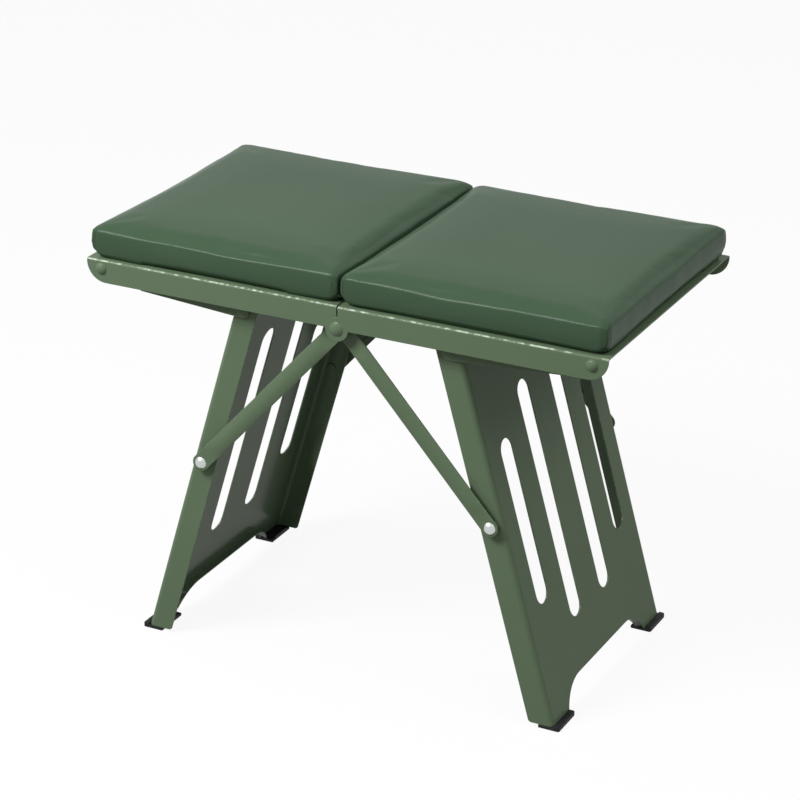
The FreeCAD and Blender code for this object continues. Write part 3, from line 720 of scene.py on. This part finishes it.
# Painted shade: the bottom of each corner pleat is darkened towards this deep green.
fold_shaded_colour = mixed(tree, shade.outputs["Result"], skin_colour, linear("#263426"))
satin = spread(tree, pebbles, low=0.36, high=0.46)
grain = add_node(
    tree, "Math", {"operation": "MULTIPLY_ADD"}, {0: pores, 1: PORE_SHARE, 2: pebbles}
)
emboss = bumps(tree, grain.outputs["Value"], strength=0.18, depth=PEBBLE_DEPTH, invert=True)
link_finish(tree, shader, Base_Color=fold_shaded_colour, Roughness=satin, Normal=emboss)
print(leatherette.name, "with", len(tree.nodes), "nodes")

# %% [markdown]
# ## Zinc-plated rivets
# Rivets, studs, spacers and screws come plated from a barrel. Zinc is a bluish white metal with a
# fine uneven bloom, and a rivet's dome keeps faint marks of the tool that headed it. It mirrors
# the room softly, so most of its look is what stands round it.

# %% The plated steel
BLOOM = 1.5
HEADING = 3
HEADING_DEPTH = 0.4
zinc, tree, shader = new_material("barrel_zinc_plated_steel", Metallic=1.0)
place = add_node(tree, "TexCoord").outputs["Object"]
bloom = waves(tree, place, BLOOM, detail=4)
zinc_colour = mixed(tree, bloom, linear("#B4BBB8"), linear("#D5DAD7"))
lustre = spread(tree, bloom, low=0.2, high=0.42)
marks = waves(tree, place, HEADING, detail=2)
headed = bumps(tree, marks, strength=0.35, depth=HEADING_DEPTH)
link_finish(tree, shader, Base_Color=zinc_colour, Roughness=lustre, Normal=headed)
print(zinc.name, "with", len(tree.nodes), "nodes")

# %% [markdown]
# ## Black rubber
# The feet are moulded in black rubber from a blasted steel mould, so the skin is matt and slightly
# rough, and dust greys it in patches. A photographed texture could carry the dust, but noise in
# the object's own coordinates needs no unwrapping and has no seams.

# %% The moulded rubber
BLAST = 0.9
BLAST_DEPTH = 0.15
DUST = 9
rubber, tree, shader = new_material("moulded_black_rubber", Specular_IOR_Level=0.25)
place = add_node(tree, "TexCoord").outputs["Object"]
dust = waves(tree, place, DUST, detail=4)
rubber_colour = mixed(tree, dust, linear("#0F1110"), linear("#1C1E1D"))
matt = spread(tree, dust, low=0.55, high=0.75)
blast = waves(tree, place, BLAST, detail=2)
pitted = bumps(tree, blast, strength=0.25, depth=BLAST_DEPTH)
link_finish(tree, shader, Base_Color=rubber_colour, Roughness=matt, Normal=pitted)
print(rubber.name, "with", len(tree.nodes), "nodes")

# %% [markdown]
# ## Plywood
# The board inside a cushion is birch plywood. It shows only if the stool is taken apart: bands of
# veneer a little over a millimetre thick at its edges, and long pale grain on its faces. One noise
# gives both, stretched along the grain and squeezed across the veneers.

# %% The birch board
VENEER = 1.2
GRAIN_LENGTH = 60
GRAIN_WIDTH = 3
plywood, tree, shader = new_material("peeled_birch_plywood", Roughness=0.7)
place = add_node(tree, "TexCoord").outputs["Object"]
stretch = (per_metre(GRAIN_LENGTH), per_metre(GRAIN_WIDTH), per_metre(VENEER))
along = add_node(tree, "Mapping", inputs={"Vector": place, "Scale": stretch}).outputs["Vector"]
fibre = add_node(tree, "TexNoise", inputs={"Vector": along, "Scale": 1, "Detail": 5})
birch_colour = mixed(tree, fibre.outputs["Fac"], linear("#B08D5E"), linear("#E0C79B"))
link_finish(tree, shader, Base_Color=birch_colour)
print(plywood.name, "with", len(tree.nodes), "nodes")

# %% [markdown]
# ## Dressing the pieces
# Each piece carries the name of a slot, which says what it is made of. The new pieces take the
# finish of their slot. Rivets, pins, spacers, screws and boards keep their CAD shape, and only
# their plain colour is swapped for the finish of the same name.

# %% Give every piece its finish
FINISHES = {
    "green_paint": powder_coat,
    "leatherette": leatherette,
    "bare_steel": zinc,
    "rubber": rubber,
    "plywood": plywood,
}
for piece in coated + feet + cushions:
    piece.data.materials.clear()
    piece.data.materials.append(FINISHES[piece["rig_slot"]])
for node in nodes.values():
    for slot in node.material_slots:
        slot.material = FINISHES[slot.material.name.split(".")[0]]
print({slot_name: finish.name for slot_name, finish in FINISHES.items()})

# %% [markdown]
# ## Floor and light
# The picture was taken on white under soft light from the front left. The world is a plain white
# room. Rays from the camera and mirror reflections see it at full white, and the light that it
# sheds on the object is set apart, so the background can be white without bleaching the paint.

# %% The white room
ROOM_LIGHT = 0.33
WHITE = linear("#FFFFFF")
scene = bpy.context.scene
scene.view_settings.view_transform = "Standard"
room = bpy.data.worlds.new("white room")
room.use_nodes = True
scene.world = room
tree = room.node_tree
tree.nodes.clear()


def larger(tree, first, second):
    inputs = {0: first, 1: second}
    return add_node(tree, "Math", {"operation": "MAXIMUM"}, inputs).outputs["Value"]


def seen_directly(tree):
    path = add_node(tree, "LightPath").outputs
    mirrored = larger(tree, path["Is Glossy Ray"], path["Is Transmission Ray"])
    return larger(tree, path["Is Camera Ray"], mirrored)


shown = add_node(tree, "Background", inputs={"Strength": 1.0, "Color": WHITE})
shed = add_node(tree, "Background", inputs={"Strength": ROOM_LIGHT, "Color": WHITE})
choose = add_node(
    tree,
    "MixShader",
    inputs={0: seen_directly(tree), 1: shed.outputs[0], 2: shown.outputs[0]},
)
add_node(tree, "OutputWorld", inputs={"Surface": choose.outputs[0]})
print("room light", ROOM_LIGHT)

# %% [markdown]
# ## The floor
# The floor works the same way. Nearly all of what the camera sees there is its own white, so it
# runs into the background without an edge, and the small share that is lit keeps the stool's
# shadow. A shadow catcher would need a compositor. The light that the floor throws back at the
# stool comes from a mid grey, because a white floor would fill the shade under the seat.

# %% Lay the floor
FLOOR_HALF = 8.0
FLOOR_DROP = 0.2 * MM
FLOOR_WHITE = 0.92
bm = bmesh.new()
bmesh.ops.create_grid(bm, x_segments=1, y_segments=1, size=FLOOR_HALF)
bmesh.ops.translate(bm, verts=bm.verts, vec=(0, 0, -FLOOR_DROP))
mesh = bpy.data.meshes.new("studio_floor")
bm.to_mesh(mesh)
bm.free()
floor = bpy.data.objects.new("studio_floor", mesh)
scene.collection.objects.link(floor)
floor_paint, tree, shader = new_material("pale_studio_floor", Roughness=0.9, Specular_IOR_Level=0.1)
seen = seen_directly(tree)
floor_colour = mixed(tree, seen, linear("#8C8C8A"), WHITE)
link_finish(tree, shader, Base_Color=floor_colour)
glow = add_node(tree, "Emission", inputs={"Color": WHITE, "Strength": 1.0})
share = add_node(tree, "Math", {"operation": "MULTIPLY"}, {0: seen, 1: FLOOR_WHITE})
both = add_node(
    tree,
    "MixShader",
    inputs={0: share.outputs["Value"], 1: shader.outputs["BSDF"], 2: glow.outputs[0]},
)
tree.links.new(both.outputs[0], tree.nodes["Material Output"].inputs["Surface"])
mesh.materials.append(floor_paint)
print("floor", 2 * FLOOR_HALF, "m wide")

# %% [markdown]
# ## Lamps
# One broad lamp stands high at the front left and gives the cushions their soft shine and the
# braces their shaded undersides. A weak one at the right keeps the end of the seat and the right
# leg from going black. Both are disks, whose reflections in the rivets are round.

# %% The key light and a weak fill
AIM = Vector((0, 0, 0.25))
LAMP_DISTANCE = 2.0


def soft_lamp(name, bearing, height, width, watts):
    turn = math.radians(bearing)
    rise = math.radians(height)
    towards = Vector(
        (math.sin(turn) * math.cos(rise), -math.cos(turn) * math.cos(rise), math.sin(rise))
    )
    lamp = bpy.data.lights.new(name, "AREA")
    lamp.shape = "DISK"
    lamp.size = width
    lamp.energy = watts
    holder = bpy.data.objects.new(name, lamp)
    holder.location = AIM + towards * LAMP_DISTANCE
    holder.rotation_euler = towards.to_track_quat("Z", "Y").to_euler()
    scene.collection.objects.link(holder)


soft_lamp("key", bearing=-34, height=44, width=0.8, watts=34)
soft_lamp("fill", bearing=80, height=48, width=1.0, watts=8)
print("key and fill lights hung")

# %% [markdown]
# ## Camera
# The camera was fitted to points of the photograph: it stands to the right, looks down by 23
# degrees with a long lens, and is tilted by half a degree.

# %% The camera
CAMERA_AT = Vector((1.0235, -2.0675, 1.2083))
AZIMUTH = math.radians(26.51)
ELEVATION = math.radians(23.26)
ROLL = math.radians(0.59)
LENS = 130.08
SENSOR = 36
back = Vector(
    (
        math.sin(AZIMUTH) * math.cos(ELEVATION),
        -math.cos(AZIMUTH) * math.cos(ELEVATION),
        math.sin(ELEVATION),
    )
)
level = Vector((math.cos(AZIMUTH), math.sin(AZIMUTH), 0))
right = level * math.cos(ROLL) + back.cross(level) * math.sin(ROLL)
turned = Matrix((right, back.cross(right), back)).transposed()
lens = bpy.data.cameras.new("photo camera")
lens.lens = LENS
lens.sensor_width = SENSOR
camera = bpy.data.objects.new("photo camera", lens)
camera.matrix_world = Matrix.Translation(CAMERA_AT) @ turned.to_4x4()
scene.collection.objects.link(camera)
scene.camera = camera
print("camera at", [round(c, 3) for c in CAMERA_AT])
